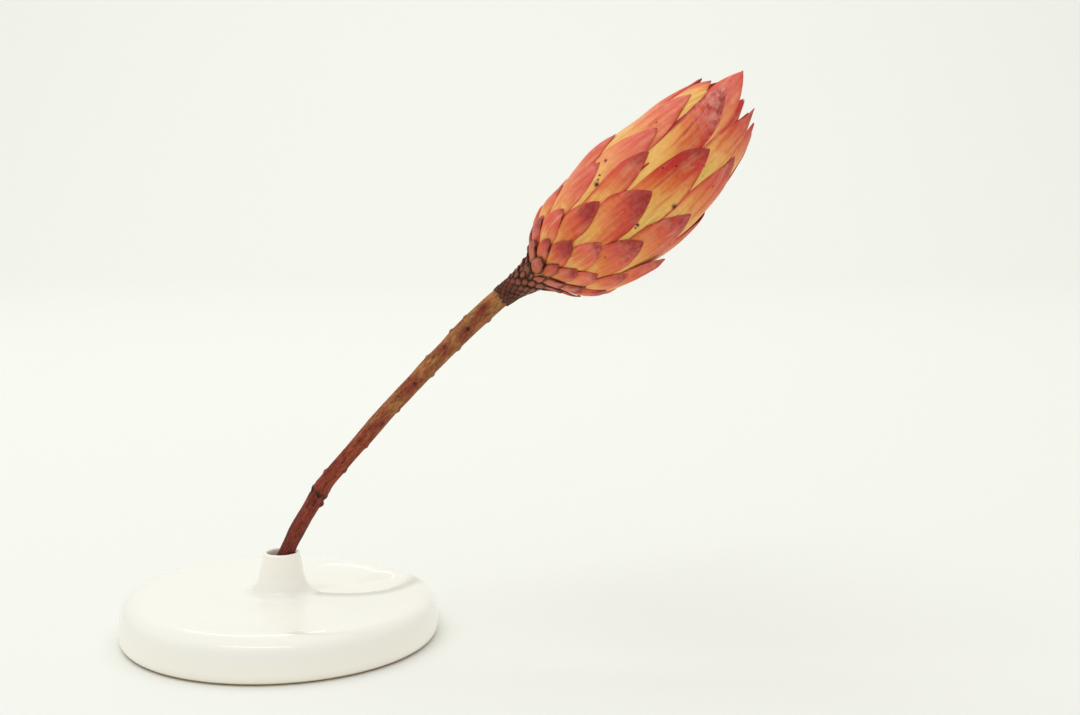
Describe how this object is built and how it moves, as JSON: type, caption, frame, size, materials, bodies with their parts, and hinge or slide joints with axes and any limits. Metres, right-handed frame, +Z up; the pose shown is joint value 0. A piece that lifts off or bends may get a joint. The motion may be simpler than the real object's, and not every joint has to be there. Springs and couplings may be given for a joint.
{
  "type": "protea flower in a bud vase",
  "caption": "Single protea bloom with overlapping pointed bracts on a woody stem, leaning out of a low round glazed vase with a narrow neck.",
  "frame": {"origin": "centre of the flat base of the vase, on the surface that it stands on", "axes": "+Z up; the stem lies in the XZ plane and leans towards +X; the hollow in the vase's top is on the +Y side"},
  "size_m": [0.2262, 0.114, 0.2021],
  "materials": {
    "glaze": "white glossy glaze, faintly cream where it is thin",
    "bark": "reddish brown young bark with leaf scars, darker at the foot and olive tan below the head",
    "bract": "leathery bract, yellow at the base through salmon to a crimson tip, with a satin bloom",
    "florets": "silky cream hairs over straight yellow florets"
  },
  "bodies": {
    "root": {"vase": "glaze", "stem": "bark", "florets": "florets", "bract_00": "bract", "bract_01": "bract", "bract_02": "bract", "bract_03": "bract", "bract_04": "bract", "bract_05": "bract", "bract_06": "bract", "bract_07": "bract", "bract_08": "bract", "bract_09": "bract", "bract_10": "bract", "bract_11": "bract", "bract_12": "bract", "bract_13": "bract", "bract_14": "bract", "bract_15": "bract", "bract_16": "bract", "bract_17": "bract", "bract_18": "bract", "bract_19": "bract", "bract_20": "bract", "bract_21": "bract", "bract_22": "bract", "bract_23": "bract", "bract_24": "bract", "bract_25": "bract", "bract_26": "bract", "bract_27": "bract", "bract_28": "bract", "bract_29": "bract", "bract_30": "bract", "bract_31": "bract", "bract_32": "bract", "bract_33": "bract", "bract_34": "bract", "bract_35": "bract", "bract_36": "bract", "bract_37": "bract", "bract_38": "bract", "bract_39": "bract", "bract_40": "bract", "bract_41": "bract", "bract_42": "bract", "bract_43": "bract", "bract_44": "bract", "bract_45": "bract", "bract_46": "bract", "bract_47": "bract", "bract_48": "bract", "bract_49": "bract", "bract_50": "bract", "bract_51": "bract", "bract_52": "bract", "bract_53": "bract", "bract_54": "bract", "bract_55": "bract"}
  },
  "joints": []
}
